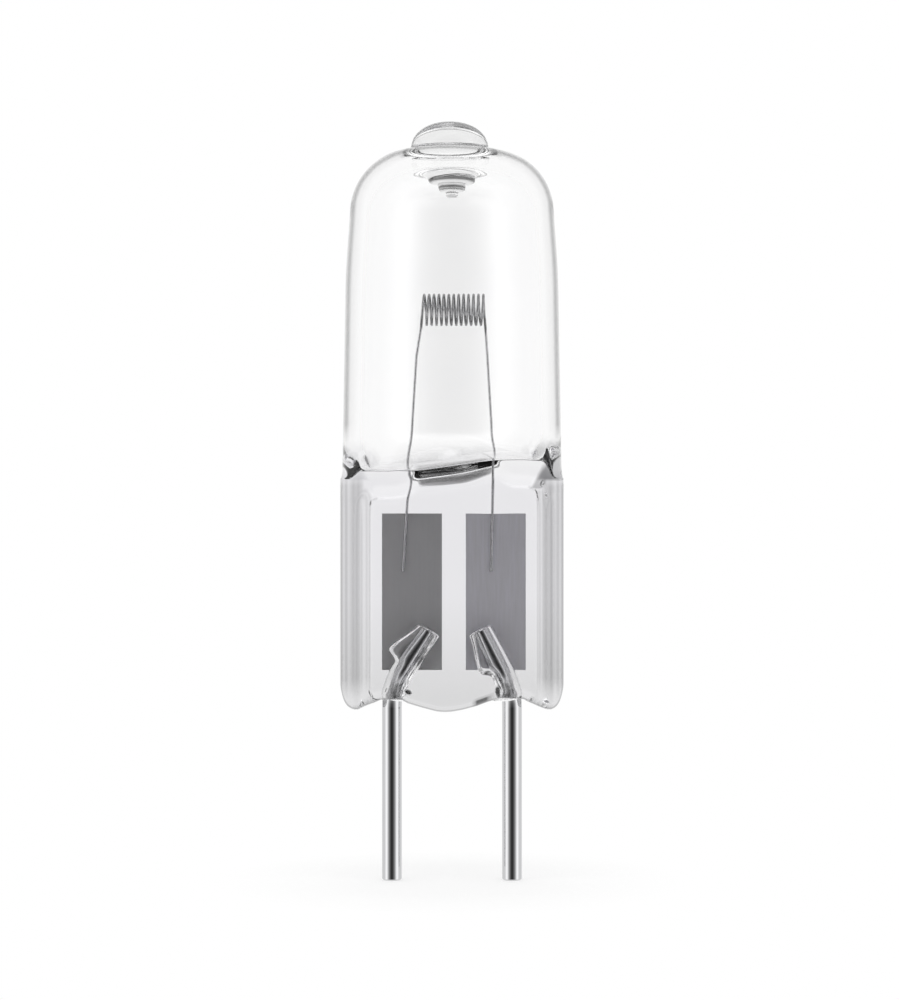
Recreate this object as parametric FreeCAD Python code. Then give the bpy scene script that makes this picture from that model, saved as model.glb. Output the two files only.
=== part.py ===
"""Two-pin halogen capsule lamp, single ended, in millimetres.

The lamp stands on its own axis, +Z, with its pins down. The origin is on the axis at the level of
the pins' free ends. -Y is the side from which the pins and the filament's legs lie in front of the
foils, and X runs from the left pin to the right one.
"""
import FreeCAD, Part
import math
import os

from FreeCAD import Vector

# Pins: straight outside the quartz, then bent inwards and forwards to lie on the foils
PIN_PITCH = 6.35
PIN_RADIUS = 0.525
PIN_FREE_LENGTH = 9.5        # free end up to the notch where the pin enters the quartz
PIN_END_BREAK = 0.06         # chamfer on the cut free end
PIN_BEND_RADIUS = 1.9
PIN_BEND_INSIDE = 0.15       # from the notch up to the first bend's corner
PIN_STEP_RISE = 1.1          # the run that steps the pin forwards, in front of the foil
PIN_STEP_INWARDS = 0.4
PIN_TOP_RISE = 2.45          # height of the slanted run that is welded to the foil
PIN_TOP_X = {"left": -1.25, "right": 1.52}
PIN_GAP = 0.04               # the quartz shrinks clear of the pins
WELD_PRESS = 0.03            # how far a pin is pressed flat against its foil
WELD_LAND_BELOW = 0.12       # the pin's flat starts this far below the foil

# Pinch seal: a flat web with the foils in it, between two raised side rails
PINCH_WIDTH = 11.74
PINCH_HEIGHT = 11.5          # notch up to the top of the pressed part
RAIL_THICKNESS = 3.9
RAIL_WIDTH = 1.15
WEB_THICKNESS = 3.0
WEB_TOP_MARGIN = 0.35        # the pressed field ends this far below the pinch's top
WEB_CORNER_RADIUS = 0.9
WEB_FLOOR_FILLET = 0.3
PINCH_SQUARENESS = 7.0       # exponent of the pinch's rounded section, where 2 is an ellipse
SECTION_BUNCHING = 0.85      # how far a section's points are drawn to its sides' middles, 0 to 1
NOTCH_MARGIN = 0.035         # the notch is wider than the pin's capillary by this on each side
CENTRE_LOBE = 0.64           # how far the bottom hangs below the notches, in the middle
CENTRE_LOBE_LEVEL = 0.75     # width of the middle lobe's level bottom
CENTRE_LOBE_SHIFT = -0.22
CENTRE_LOBE_ROUND = 1.5
CORNER_LOBE = 0.6            # how far the bottom hangs below the notches, at each rail
CORNER_LOBE_INSET = 0.59     # the lobe's lowest corner from the pinch's side
CORNER_LOBE_ROUND = 0.55
SIDE_TURN_RISE = 0.2         # above the notch, where the pinch's side turns in to its lobe
SIDE_TURN_ROUND = 0.9

# Bulb: a blown tube, slightly narrower upwards, with a round shoulder and the exhaust tip
PRESS_HEIGHT = 2.8           # the stretch where the tube flattens into the pinch
TUBE_RADIUS = 5.76
UPPER_TUBE_RADIUS = 5.62
UPPER_TUBE_HEIGHT = 8.3      # above the pressed stretch, where the taper to the shoulder starts
TAPER_RADIUS = 40.0
SHOULDER_INSET = 0.433       # the shoulder's corner lies this far inside the upper tube
SHOULDER_DROP = 0.735        # the shoulder's corner lies this far below the crown
SHOULDER_ROUND = 3.25
BULB_LENGTH = 14.94          # from the pressed stretch to the crown
CROWN_RADIUS = 1.4           # the level part of the crown, under the tip
WALL = 0.95
CROWN_WALL = 1.35
INNER_SHOULDER_ROUND = 2.6

# Exhaust tip, melted off a little to one side of the axis, with the end of the tube's bore below
TIP_RADIUS = 2.05
TIP_HEIGHT = 1.34
TIP_ROUND = 1.38
TIP_OFFSET = -0.12
TIP_FILLET = 0.25
BORE_END_RADIUS = 0.8
BORE_END_DEPTH = 0.75
BORE_MOUTH_ROUND = 0.45

# Foot of the gas space, squeezed to a slot
CAVITY_FOOT_RISE = 0.6       # above the pinch's top
CAVITY_FOOT_HALF_WIDTH = 3.9
CAVITY_FOOT_HALF_DEPTH = 0.35

# Foils: thin ribbons with feathered long edges, sealed in the web
FOIL_WIDTH = 3.16
FOIL_LENGTH = 8.25
FOIL_THICKNESS = 0.04
FOIL_EDGE_THICKNESS = 0.012
FOIL_FEATHER = 0.35          # width of the thinned stretch along each long edge
FOIL_GAP = 1.26              # between the two foils
FOIL_SHIFT = 0.10            # the pair sits this far to the right of the axis
FOIL_TOP_MARGIN = 1.64       # below the top of the pinch

# Filament: one wire, wound into a coil across the axis, with a leg down to each foil
WIRE_RADIUS = 0.07
COIL_RADIUS = 0.79           # of the wire's centre line
COIL_FULL_TURNS = 12         # and a half turn more, so that the legs leave on opposite sides
COIL_PITCH = 0.2605
COIL_LEFT = -1.53
LIGHT_CENTRE = 30.1          # the coil's axis above the pins' free ends
LEG_LEAD = 1.0               # straight run off the coil
LEG_ELBOW_DROP = 2.5         # below the coil's axis
LEG_ELBOW_X = {"left": -1.86, "right": 1.90}
LEG_KNEE_RISE = 1.2          # above the pinch's top
LEG_KNEE_X = {"left": -2.21, "right": 2.19}
LEG_END_X = {"left": -2.58, "right": 2.07}
LEG_LAP = 3.05               # length welded down the foil
LEG_BEND_RADIUS = 1.2
LEG_PRESS = 0.012            # how far the leg is pressed flat against its foil

SIDES = {"left": -1, "right": 1}

# Levels that follow from the sizes above
NOTCH_Z = PIN_FREE_LENGTH
PINCH_TOP_Z = NOTCH_Z + PINCH_HEIGHT
TUBE_Z = PINCH_TOP_Z + PRESS_HEIGHT
CROWN_Z = TUBE_Z + BULB_LENGTH
FOIL_TOP_Z = PINCH_TOP_Z - FOIL_TOP_MARGIN
FOIL_BOTTOM_Z = FOIL_TOP_Z - FOIL_LENGTH
FOIL_FRONT_Y = -FOIL_THICKNESS / 2
SHOULDER_CORNER_RADIUS = UPPER_TUBE_RADIUS - SHOULDER_INSET

PLANE_TOLERANCE = 1e-6       # an edge this near to a plane lies in it


def rounded_path(corners):
    """Straight runs joined by tangent arcs, through corners given as (point, bend radius)."""
    edges = []
    start = corners[0][0]
    for (before, _), (corner, radius), (after, _) in zip(corners, corners[1:], corners[2:]):
        arriving = (corner - before).normalize()
        leaving = (after - corner).normalize()
        half_turn = arriving.getAngle(leaving) / 2
        reach = radius * math.tan(half_turn)
        inside = (leaving - arriving).normalize()
        first = corner - arriving * reach
        middle = corner + inside * (radius / math.cos(half_turn) - radius)
        last = corner + leaving * reach
        edges.append(Part.LineSegment(start, first).toShape())
        if radius > 0:
            edges.append(Part.Arc(first, middle, last).toShape())
        start = last
    edges.append(Part.LineSegment(start, corners[-1][0]).toShape())
    return edges


def turned_solid(corners, axis_x=0.0):
    """Solid of revolution about the vertical line at axis_x; corners run from axis to axis."""
    points = [(Vector(r, 0, z), radius) for r, z, radius in corners]
    outline = rounded_path(points)
    outline.append(Part.LineSegment(points[-1][0], points[0][0]).toShape())
    face = Part.Face(Part.Wire(outline))
    solid = face.revolve(Vector(0, 0, 0), Vector(0, 0, 1), 360)
    solid.translate(Vector(axis_x, 0, 0))
    return solid


def rod_along(edges, radius):
    """Round rod of the given radius along a chain of edges."""
    path = Part.Wire(edges)
    start = path.Edges[0].valueAt(path.Edges[0].FirstParameter)
    along = path.Edges[0].tangentAt(path.Edges[0].FirstParameter)
    section = Part.Wire(Part.Circle(start, along, radius).toShape())
    return path.makePipeShell([section], True, False)


def pressed_section(half_x, half_y, squareness, z, count=48):
    """Closed smooth section: a superellipse, from a circle at squareness 2 to a rounded slab.

    Its points are bunched towards the middles of the four sides, where a squared section's even
    angles would leave wide gaps for the curve to bulge in.
    """
    points = []
    for step in range(count):
        angle = 2 * math.pi * step / count
        angle -= SECTION_BUNCHING / 4 * math.sin(4 * angle)
        cosine, sine = math.cos(angle), math.sin(angle)
        x = math.copysign(abs(cosine) ** (2 / squareness), cosine) * half_x
        y = math.copysign(abs(sine) ** (2 / squareness), sine) * half_y
        points.append(Vector(x, y, z))
    curve = Part.BSplineCurve()
    curve.interpolate(points, PeriodicFlag=True)
    return Part.Wire(curve.toShape())


def flattening_tube(radius, half_x, half_y, squareness, low_z, high_z):
    """The stretch where a round tube is pressed flat, lofted from its circle to a flat section."""
    steps = 5
    sections = []
    for step in range(steps):
        part = step / steps
        pressed = (1 - math.cos(math.pi * (1 - part))) / 2
        sections.append(pressed_section(
            radius + (half_x - radius) * pressed,
            radius + (half_y - radius) * pressed,
            2 + (squareness - 2) * pressed ** 2,
            low_z + (high_z - low_z) * part))
    sections.append(Part.Wire(Part.Circle(Vector(0, 0, high_z), Vector(0, 0, 1), radius).toShape()))
    return Part.makeLoft(sections, True, False)


def bulb_outer():
    """The blown bulb above the pressed stretch, without its tip.

    The shoulder's round ends outside the tip's foot, also where a slim bulb leaves it less room.
    """
    taper = Vector(SHOULDER_CORNER_RADIUS - UPPER_TUBE_RADIUS, 0,
                   BULB_LENGTH - UPPER_TUBE_HEIGHT - SHOULDER_DROP)
    crown = Vector(CROWN_RADIUS - SHOULDER_CORNER_RADIUS, 0, SHOULDER_DROP)
    room = SHOULDER_CORNER_RADIUS - TIP_RADIUS - abs(TIP_OFFSET) - TIP_FILLET
    shoulder_round = min(SHOULDER_ROUND, room / math.tan(taper.getAngle(crown) / 2))
    return turned_solid([
        (0, TUBE_Z, 0),
        (TUBE_RADIUS, TUBE_Z, 0),
        (UPPER_TUBE_RADIUS, TUBE_Z + UPPER_TUBE_HEIGHT, TAPER_RADIUS),
        (SHOULDER_CORNER_RADIUS, CROWN_Z - SHOULDER_DROP, shoulder_round),
        (CROWN_RADIUS, CROWN_Z, 0),
        (0, CROWN_Z, 0)])


def exhaust_tip():
    """The melted-off stub of the exhaust tube, rooted inside the crown's thickness."""
    return turned_solid([
        (0, CROWN_Z - CROWN_WALL / 2, 0),
        (TIP_RADIUS, CROWN_Z - CROWN_WALL / 2, 0),
        (TIP_RADIUS, CROWN_Z + TIP_HEIGHT, TIP_ROUND),
        (0, CROWN_Z + TIP_HEIGHT, 0)], TIP_OFFSET)


def tipped_bulb():
    """Bulb and tip melted together, with a small fillet round the tip's foot."""
    bulb = bulb_outer().fuse(exhaust_tip())
    foot = [edge for edge in bulb.Edges
            if edge.BoundBox.ZMin > CROWN_Z - SHOULDER_DROP
            and edge.BoundBox.ZMax < CROWN_Z + TIP_FILLET
            and edge.BoundBox.XLength > 2 * TIP_RADIUS - TIP_FILLET]
    return bulb.makeFillet(TIP_FILLET, foot)


def bulb_inner():
    """The gas space of the bulb above the pressed stretch, with the end of the exhaust bore."""
    ceiling = CROWN_Z - CROWN_WALL
    return turned_solid([
        (0, TUBE_Z, 0),
        (TUBE_RADIUS - WALL, TUBE_Z, 0),
        (UPPER_TUBE_RADIUS - WALL, TUBE_Z + UPPER_TUBE_HEIGHT, TAPER_RADIUS),
        (SHOULDER_CORNER_RADIUS - WALL, ceiling - SHOULDER_DROP, INNER_SHOULDER_ROUND),
        (BORE_END_RADIUS + BORE_MOUTH_ROUND, ceiling, BORE_MOUTH_ROUND),
        (BORE_END_RADIUS, ceiling + BORE_END_DEPTH, BORE_END_RADIUS / 2),
        (0, ceiling + BORE_END_DEPTH, 0)])


def pinch_front_outline():
    """The pinch seen from the front: upright sides, a lobe at each rail and one in the middle,
    and a notch over each pin."""
    half = PINCH_WIDTH / 2
    notch_half = PIN_RADIUS + PIN_GAP + NOTCH_MARGIN
    notches = [PIN_PITCH / 2 + notch_half, PIN_PITCH / 2 - notch_half]
    lobe_half = CENTRE_LOBE_LEVEL / 2
    corners = [
        (half, PINCH_TOP_Z, 0),
        (half, NOTCH_Z + SIDE_TURN_RISE, SIDE_TURN_ROUND),
        (half - CORNER_LOBE_INSET, NOTCH_Z - CORNER_LOBE, CORNER_LOBE_ROUND),
        (notches[0], NOTCH_Z, 0),
        (notches[1], NOTCH_Z, 0),
        (CENTRE_LOBE_SHIFT + lobe_half, NOTCH_Z - CENTRE_LOBE, CENTRE_LOBE_ROUND),
        (CENTRE_LOBE_SHIFT - lobe_half, NOTCH_Z - CENTRE_LOBE, CENTRE_LOBE_ROUND),
        (-notches[1], NOTCH_Z, 0),
        (-notches[0], NOTCH_Z, 0),
        (CORNER_LOBE_INSET - half, NOTCH_Z - CORNER_LOBE, CORNER_LOBE_ROUND),
        (-half, NOTCH_Z + SIDE_TURN_RISE, SIDE_TURN_ROUND),
        (-half, PINCH_TOP_Z, 0)]
    points = [(Vector(x, 0, z), radius) for x, z, radius in corners]
    lid = Part.LineSegment(points[-1][0], points[0][0]).toShape()
    return Part.Wire(rounded_path(points) + [lid])


def web_field(side):
    """What the jaw presses away from one face of the pinch; side is -1 in front, 1 behind."""
    half = PINCH_WIDTH / 2 - RAIL_WIDTH
    top = PINCH_TOP_Z - WEB_TOP_MARGIN
    low = NOTCH_Z - CENTRE_LOBE - CORNER_LOBE
    floor_y = side * WEB_THICKNESS / 2
    outline = rounded_path([
        (Vector(0, floor_y, low), 0),
        (Vector(half, floor_y, low), 0),
        (Vector(half, floor_y, top), WEB_CORNER_RADIUS),
        (Vector(-half, floor_y, top), WEB_CORNER_RADIUS),
        (Vector(-half, floor_y, low), 0),
        (Vector(0, floor_y, low), 0)])
    field = Part.Face(Part.Wire(outline)).extrude(Vector(0, side * RAIL_THICKNESS, 0))
    rim = [edge for edge in field.Edges
           if edge.BoundBox.YLength < PLANE_TOLERANCE
           and abs(edge.BoundBox.YMin - floor_y) < PLANE_TOLERANCE
           and edge.BoundBox.ZMax > low + WEB_FLOOR_FILLET]
    return field.makeFillet(WEB_FLOOR_FILLET, rim)


def pinch_block():
    """The pressed seal: a rounded slab cut to its front outline, with a field on each face."""
    section = pressed_section(PINCH_WIDTH / 2, RAIL_THICKNESS / 2, PINCH_SQUARENESS, PINCH_TOP_Z)
    depth = PINCH_TOP_Z - NOTCH_Z + CENTRE_LOBE + CORNER_LOBE
    slab = Part.Face(section).extrude(Vector(0, 0, -depth))
    front = Part.Face(pinch_front_outline())
    front.translate(Vector(0, -RAIL_THICKNESS, 0))
    block = slab.common(front.extrude(Vector(0, 2 * RAIL_THICKNESS, 0)))
    return block.cut([web_field(-1), web_field(1)])


def cavity_foot():
    """The lower end of the gas space, squeezed to a slot as the tube was pressed."""
    return flattening_tube(TUBE_RADIUS - WALL, CAVITY_FOOT_HALF_WIDTH, CAVITY_FOOT_HALF_DEPTH,
                           2.0, PINCH_TOP_Z + CAVITY_FOOT_RISE, TUBE_Z)


def pin_path(side):
    """Corners of one pin from its free end to its welded end."""
    direction = SIDES[side]
    x = direction * PIN_PITCH / 2
    step_z = PIN_FREE_LENGTH + PIN_BEND_INSIDE
    weld_x = x - direction * PIN_STEP_INWARDS
    weld_y = FOIL_FRONT_Y - PIN_RADIUS + WELD_PRESS
    weld_z = step_z + PIN_STEP_RISE
    return [(Vector(x, 0, 0), 0),
            (Vector(x, 0, step_z), PIN_BEND_RADIUS),
            (Vector(weld_x, weld_y, weld_z), PIN_BEND_RADIUS),
            (Vector(PIN_TOP_X[side], weld_y, weld_z + PIN_TOP_RISE), 0)]


def foil(side):
    """One foil: a ribbon whose long edges thin out to a feather."""
    left_x = FOIL_SHIFT + (FOIL_GAP / 2 if side == "right" else -FOIL_GAP / 2 - FOIL_WIDTH)
    right_x = left_x + FOIL_WIDTH
    thick, thin = FOIL_THICKNESS / 2, FOIL_EDGE_THICKNESS / 2
    corners = [(left_x, -thin), (left_x + FOIL_FEATHER, -thick), (right_x - FOIL_FEATHER, -thick),
               (right_x, -thin), (right_x, thin), (right_x - FOIL_FEATHER, thick),
               (left_x + FOIL_FEATHER, thick), (left_x, thin), (left_x, -thin)]
    section = Part.makePolygon([Vector(x, y, FOIL_BOTTOM_Z) for x, y in corners])
    return Part.Face(section).extrude(Vector(0, 0, FOIL_LENGTH))


def weld_land(side):
    """The space behind a foil's front face, which its pin is pressed flat against."""
    box = foil(side).BoundBox
    return Part.makeBox(box.XLength, 2 * PIN_RADIUS, box.ZLength + WELD_LAND_BELOW,
                        Vector(box.XMin, FOIL_FRONT_Y, box.ZMin - WELD_LAND_BELOW))


def pin(side):
    """One pin, with its free end chamfered and its welded end pressed flat on the foil."""
    rod = rod_along(rounded_path(pin_path(side)), PIN_RADIUS)
    free_end = [edge for edge in rod.Edges if edge.BoundBox.ZMax < PIN_END_BREAK]
    return rod.makeChamfer(PIN_END_BREAK, free_end).cut(weld_land(side))


def pin_void(side):
    """The capillary round a pin inside the quartz, which stays in front of the foil."""
    return rod_along(rounded_path(pin_path(side)), PIN_RADIUS + PIN_GAP).cut(weld_land(side))


def coil_crossing(turns):
    """Where the winding passes its top or bottom, at a quarter or three quarters of a turn."""
    height = COIL_RADIUS * math.sin(2 * math.pi * turns)
    return Vector(COIL_LEFT + COIL_PITCH * turns, 0, LIGHT_CENTRE + height)


def coil_point(turns):
    """Place on the winding, so many turns from its left end.

    The winding is a chain of half circles in planes tilted by turns, in front and behind, so
    that each runs on into the next with no kink.
    """
    half = math.floor(2 * turns + 0.5)
    low, high = coil_crossing(half / 2 - 0.25), coil_crossing(half / 2 + 0.25)
    across = (high - low) / 2
    outwards = Vector(0, across.Length if half % 2 else -across.Length, 0)
    angle = 2 * math.pi * (turns - half / 2)
    return (low + high) / 2 + across * math.sin(angle) + outwards * math.cos(angle)


def coil_path():
    """The winding's arcs, from its left end in front to its right end behind."""
    crossings = [0.25 + step / 2 for step in range(2 * COIL_FULL_TURNS + 1)]
    marks = [0] + crossings + [COIL_FULL_TURNS + 0.5]
    return [Part.Arc(coil_point(first), coil_point((first + last) / 2), coil_point(last)).toShape()
            for first, last in zip(marks, marks[1:])]


def leg_corners(side):
    """Corners of one leg, from the coil's end down into the quartz and along its foil."""
    turns = 0 if side == "left" else COIL_FULL_TURNS + 0.5
    along = (coil_crossing(turns + 0.25) - coil_crossing(turns - 0.25)).normalize()
    down = along * -1 if side == "left" else along
    start = coil_point(turns)
    weld_y = FOIL_FRONT_Y - WIRE_RADIUS + LEG_PRESS
    elbow_z = LIGHT_CENTRE - LEG_ELBOW_DROP
    knee_z = PINCH_TOP_Z + LEG_KNEE_RISE
    elbow_part = (start.z - elbow_z) / (start.z - knee_z)
    elbow_y = start.y + (weld_y - start.y) * elbow_part
    return [(start, 0),
            (start + down * LEG_LEAD, LEG_BEND_RADIUS),
            (Vector(LEG_ELBOW_X[side], elbow_y, elbow_z), LEG_BEND_RADIUS),
            (Vector(LEG_KNEE_X[side], weld_y, knee_z), LEG_BEND_RADIUS),
            (Vector(LEG_END_X[side], weld_y, FOIL_TOP_Z - LEG_LAP), 0)]


def filament(foils):
    """Leg, coil and leg as one wire, pressed flat where it lies on the foils."""
    left_leg = rounded_path(leg_corners("left")[::-1])
    right_leg = rounded_path(leg_corners("right"))
    return rod_along(left_leg + coil_path() + right_leg, WIRE_RADIUS).cut(foils)


def envelope(embedded):
    """Bulb, tip and pinch as one piece of quartz, hollow, with the metal parts sealed in it."""
    pressed_tube = flattening_tube(TUBE_RADIUS, PINCH_WIDTH / 2, RAIL_THICKNESS / 2,
                                   PINCH_SQUARENESS, PINCH_TOP_Z, TUBE_Z)
    body = tipped_bulb().fuse([pressed_tube, pinch_block()])
    gas_space = bulb_inner().fuse(cavity_foot())
    return body.cut([gas_space] + [pin_void(side) for side in SIDES] + embedded)


def main():
    os.makedirs("parts", exist_ok=True)
    foils = [foil(side) for side in SIDES]
    wire = filament(foils)
    pieces = {"envelope": envelope(foils + [wire]), "filament": wire}
    for side, its_foil in zip(SIDES, foils):
        pieces["foil_" + side] = its_foil
        pieces["pin_" + side] = pin(side)
    for name, shape in pieces.items():
        solid = shape.Solids[0]
        print(name, len(shape.Solids), "solid, valid", solid.isValid(), "mm3", round(solid.Volume, 3))
        solid.exportStep("parts/" + name + ".step")


main()
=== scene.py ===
"""Looks of a halogen capsule lamp, as a Blender add-on that also runs as a script.

The quartz envelope is built here as smooth closed surfaces in place of the CAD solid: its outer
skin, the gas space, the air round the bent pins and a few small voids. Pins, foils and filament
keep their CAD shapes and get their metals. The surfaces are worked out in millimetres in the
lamp's own frame, with x to the right, y to the back and z up from the free ends of the pins.
"""
import math
from types import SimpleNamespace

import bmesh
import bpy
import numpy as np
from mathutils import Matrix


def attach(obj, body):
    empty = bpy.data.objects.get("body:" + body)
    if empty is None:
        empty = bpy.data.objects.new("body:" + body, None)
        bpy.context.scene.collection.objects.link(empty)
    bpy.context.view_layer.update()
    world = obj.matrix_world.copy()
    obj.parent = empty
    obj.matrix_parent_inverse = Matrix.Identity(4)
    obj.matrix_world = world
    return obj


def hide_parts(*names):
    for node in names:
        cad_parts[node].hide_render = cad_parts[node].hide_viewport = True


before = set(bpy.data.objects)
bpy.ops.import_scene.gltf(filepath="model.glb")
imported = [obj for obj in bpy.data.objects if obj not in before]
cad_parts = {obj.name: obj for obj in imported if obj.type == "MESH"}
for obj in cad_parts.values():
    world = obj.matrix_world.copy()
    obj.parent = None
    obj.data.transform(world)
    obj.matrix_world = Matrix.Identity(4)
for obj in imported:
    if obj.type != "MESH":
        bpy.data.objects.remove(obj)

bl_info = {
    "name": "Halogen capsule lamp",
    "version": (1, 0, 0),
    "blender": (4, 5, 0),
    "location": "View3D > Sidebar > Lamp",
    "description": "Builds the quartz of a capsule lamp, dresses its metal parts and sets its studio",
    "category": "Object",
}

MM = 0.001
PIECE_NAME = "quartz_envelope"
QUARTER_TURN = math.pi / 2
FULL_TURN = 2 * math.pi
LEFT, RIGHT = -1, 1

# Material slots of the quartz piece
SKIN, INSIDE, FLAW = 0, 1, 2


# Lines and grids

def smooth_step(value, low, high):
    """0 below low, 1 above high, and 3 s^2 - 2 s^3 of the share s in between."""
    share = np.clip((np.asarray(value, float) - low) / (high - low), 0, 1)
    return share * share * (3 - 2 * share)


def soft_line(x, knots, step, spread, reach):
    """Height at x on a line through knots of (x, height), softened.

    The line is sampled every step. Each sample becomes the mean of the samples up to reach away,
    weighted with exp(-(samples away / spread)^2).
    """
    places, heights = np.array(knots, float).T
    count = int(round((places[-1] - places[0]) / step)) + 1
    fine = np.linspace(places[0], places[-1], count)
    weights = np.exp(-(np.arange(-reach, reach + 1) / spread) ** 2)
    padded = np.pad(np.interp(fine, places, heights), reach, mode="edge")
    return np.interp(x, fine, np.convolve(padded, weights / weights.sum(), mode="valid"))


def rounded_line(corners, radii, samples):
    """Points along straight runs joined by tangent arcs, in two or three dimensions.

    There is a radius for each corner between the ends. An arc's centre lies on the corner's inner
    bisector, radius / cos(turn / 2) away. Its arms are mixed from the first and the last one, by
    the sines of the angles to the other end over the sine of the turn.
    """
    straight = 2e-4
    corners = [np.asarray(corner, float) for corner in corners]
    runs = [corners[:1]]
    for before, corner, after, radius in zip(corners, corners[1:], corners[2:], radii):
        arriving = (corner - before) / np.linalg.norm(corner - before)
        leaving = (after - corner) / np.linalg.norm(after - corner)
        turn = math.acos(np.clip(arriving @ leaving, -1, 1))
        if turn < straight:
            runs.append([corner])
            continue
        inside = (leaving - arriving) / np.linalg.norm(leaving - arriving)
        centre = corner + inside * radius / math.cos(turn / 2)
        first = corner - arriving * radius * math.tan(turn / 2) - centre
        last = corner + leaving * radius * math.tan(turn / 2) - centre
        share = np.linspace(0, 1, samples)[:, None]
        arms = np.sin((1 - share) * turn) * first + np.sin(share * turn) * last
        runs.append(centre + arms / math.sin(turn))
    runs.append(corners[-1:])
    return np.concatenate(runs)


def filled_in(points, longest):
    """The same line with points added, so that no run is longer than the given length."""
    runs = [points[:1]]
    for first, last in zip(points, points[1:]):
        count = max(1, int(math.ceil(np.linalg.norm(last - first) / longest)))
        shares = np.linspace(0, 1, count + 1)[1:, None]
        runs.append(first + (last - first) * shares)
    return np.concatenate(runs)


def circle_of(angles):
    """Points (cos, sin) of a circle of radius 1 at the given angles."""
    return np.stack([np.cos(angles), np.sin(angles)], axis=1)


def round_rows(line, circle, aside):
    """Grid of a round surface: radius times circle at each height of a line of (radius, height).

    Each row is moved to the right by its value of aside.
    """
    radius, height = line[:, :1], line[:, 1:]
    across = circle[:, 0] * radius + aside[:, None]
    return np.stack([across, circle[:, 1] * radius, np.broadcast_to(height, across.shape)], axis=2)


def grid_quads(rows, columns, start, inwards):
    """Faces of a grid closed round its columns; inwards turns them over."""
    row, column = np.meshgrid(np.arange(rows - 1), np.arange(columns), indexing="ij")
    after = (column + 1) % columns
    quads = np.stack([row * columns + column, row * columns + after,
                      (row + 1) * columns + after, (row + 1) * columns + column], axis=-1)
    quads = quads.reshape(-1, 4) + start
    return quads[:, ::-1] if inwards else quads


def mesh_object(name, surfaces):
    """One smooth mesh object from grids of points in millimetres, closed round their columns.

    Each surface gives its grid, whether its faces are turned over, and its material slot. Points
    that fall together at a pole or along a closed edge are welded.
    """
    weld_distance = 2e-7
    points, faces, slots, start = [], [], [], 0
    for grid, inwards, slot in surfaces:
        points.append(grid.reshape(-1, 3))
        faces.append(grid_quads(grid.shape[0], grid.shape[1], start, inwards))
        slots.append(np.full(len(faces[-1]), slot))
        start += grid.shape[0] * grid.shape[1]
    mesh = bpy.data.meshes.new(name)
    mesh.from_pydata((np.concatenate(points) * MM).tolist(), [], np.concatenate(faces).tolist())
    mesh.polygons.foreach_set("material_index", np.concatenate(slots).astype(np.int32))
    welded = bmesh.new()
    welded.from_mesh(mesh)
    bmesh.ops.remove_doubles(welded, verts=welded.verts, dist=weld_distance)
    welded.to_mesh(mesh)
    welded.free()
    mesh.shade_smooth()
    mesh.validate()
    piece = bpy.data.objects.new(name, mesh)
    bpy.context.scene.collection.objects.link(piece)
    return piece


# The seal

# Across and height, with a lobe at each rail, a notch beside each pin and a lobe in the middle
LOWER_EDGE = (
    (-5.87, 10.2), (-5.8, 9.72), (-5.66, 9.37), (-5.46, 9.14), (-5.2, 9.02), (-4.94, 9.01),
    (-4.57, 9.19), (-3.95, 9.42), (-3.75, 9.52), (-2.6, 9.52), (-2.43, 9.36), (-1.6, 9.11),
    (-0.8, 8.9), (-0.4, 8.87), (0.0, 8.89), (0.6, 9.0), (1.27, 9.18), (1.9, 9.42),
    (2.6, 9.6), (3.75, 9.56), (3.95, 9.44), (4.5, 9.2), (4.9, 9.04), (5.2, 9.01),
    (5.46, 9.12), (5.66, 9.36), (5.8, 9.74), (5.87, 10.2))

# Across and rise of the gas space's foot, which is low on the left and high on the right
FOOT_RISE = (
    (-6.0, 0.25), (-3.2, 0.25), (-2.4, 0.32), (-1.8, 0.42), (-1.1, 0.52), (-0.4, 0.61),
    (1.0, 0.75), (2.1, 0.85), (3.9, 0.84), (4.4, 0.8), (6.0, 0.8))

# Ranges across the lamp over which the quartz under the foot grows thick, and thin again. Over
# another range, what is added to its floor shrinks to the right by a share
THICK_START = (-3.0, -1.5)
THICK_END = (2.0, 3.4)
THINNING = (-0.8, 2.6)
THINNED_SHARE = 0.8

# Distances from the middle between which the opening passes to its height at the sides
OPENING_SIDES = (4.7, 5.4)

# Where the quartz is thick, the field reaches higher and runs out more softly. On the right of it,
# the field is shallower, which fades away over a height below the slope
FIELD_RISE = 0.45
FIELD_RUN_MORE = 0.6
SHALLOWER = 0.1
SHALLOWER_RANGE = (0.5, 2.6)
SHALLOWER_FADE = 2.5

# Left and right edge of the pressed field on each face
FRONT_FIELD = (-4.6, 4.85)
BACK_FIELD = (-4.85, 4.95)

# In front, the lower edge is rounder at the notches
NOTCH_PLACE = 3.95
NOTCH_WIDTH = 0.5
NOTCH_ROUND = 0.4
LIP_FULLNESS = 0.75

# Rows of the outer skin: round the lower edge, up the seal as (from, to, rows) in shares of its
# height, and where it opens
LIP_ROWS = 9
SEAL_ROWS = ((0, 0.12, 6), (0.12, 0.86, 14), (0.86, 1, 20))
OPENING_ROWS = 40


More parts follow.
